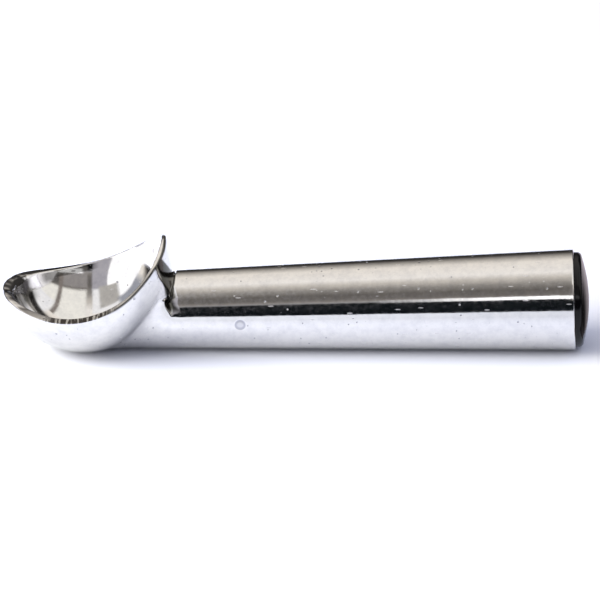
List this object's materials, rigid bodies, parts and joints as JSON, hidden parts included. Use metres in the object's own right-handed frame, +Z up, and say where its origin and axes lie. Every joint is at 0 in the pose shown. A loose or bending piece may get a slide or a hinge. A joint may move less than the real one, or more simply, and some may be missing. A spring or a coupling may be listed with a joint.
{
  "type": "ice cream scoop",
  "caption": "One-piece polished scoop with a round bowl, a raised pointed ear behind it and a tapered hollow handle closed by a domed black cap.",
  "frame": {"origin": "middle of the box around the scoop, on the table it lies on", "axes": "+X from the bowl's nose to the handle's butt, +Z up out of the open bowl, the scoop lies on its bowl and its butt"},
  "size_m": [0.1802, 0.0502, 0.0362],
  "materials": {
    "polished_casting": "polished casting, lightly scratched",
    "transfer_liquid": "clear water-like liquid, sealed in",
    "turned_plug": "turned",
    "seal_rubber": "moulded",
    "black_cap": "glossy moulded"
  },
  "bodies": {
    "root": {"scoop_casting": "polished_casting", "heat_liquid": "transfer_liquid", "seal_plug": "turned_plug", "seal_ring": "seal_rubber", "end_cap": "black_cap"}
  },
  "joints": []
}
